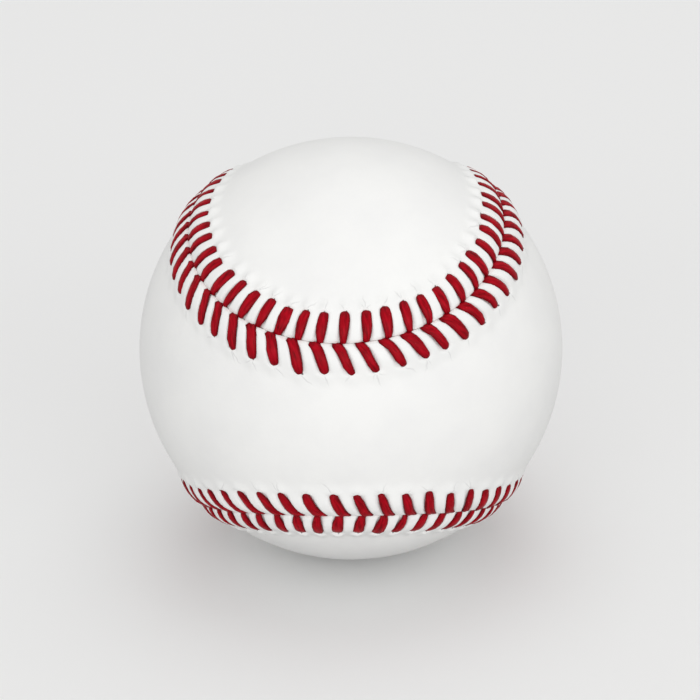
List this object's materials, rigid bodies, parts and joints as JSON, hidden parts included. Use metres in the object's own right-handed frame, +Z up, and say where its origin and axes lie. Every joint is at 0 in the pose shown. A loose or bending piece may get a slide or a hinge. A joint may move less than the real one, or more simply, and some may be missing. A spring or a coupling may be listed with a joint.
{
  "type": "baseball",
  "caption": "Sewn leather ball: figure-eight panels joined along one raised seam by red thread, over wound yarn and a cork and rubber core.",
  "frame": {"origin": "centre of the ball", "axes": "+Z up; the waist of the front cover panel faces -Y with its lobes at +X and -X; the back panel's waist faces +Y with its lobes at +Z and -Z"},
  "size_m": [0.074, 0.074, 0.074],
  "materials": {
    "leather": "smooth full-grain white leather with a soft satin sheen",
    "red_thread": "waxed red thread, slightly glossy",
    "cork": "pressed cork and rubber granules, matt",
    "black_rubber": "moulded black rubber, matt",
    "red_rubber": "moulded red rubber, matt",
    "grey_wool": "wound grey wool yarn",
    "white_wool": "wound white wool yarn",
    "white_cotton": "wound white cotton and polyester finishing yarn"
  },
  "bodies": {
    "root": {"cork_core": "cork", "black_rubber_cup_upper": "black_rubber", "black_rubber_cup_lower": "black_rubber", "red_rubber_washer": "red_rubber", "red_rubber_jacket_upper": "red_rubber", "red_rubber_jacket_lower": "red_rubber", "first_winding_grey_wool": "grey_wool", "second_winding_white_wool": "white_wool", "third_winding_grey_wool": "grey_wool", "finishing_winding_cotton": "white_cotton", "front_cover_panel": "leather", "back_cover_panel": "leather", "thread_first_needle": "red_thread", "thread_second_needle": "red_thread"}
  },
  "joints": []
}
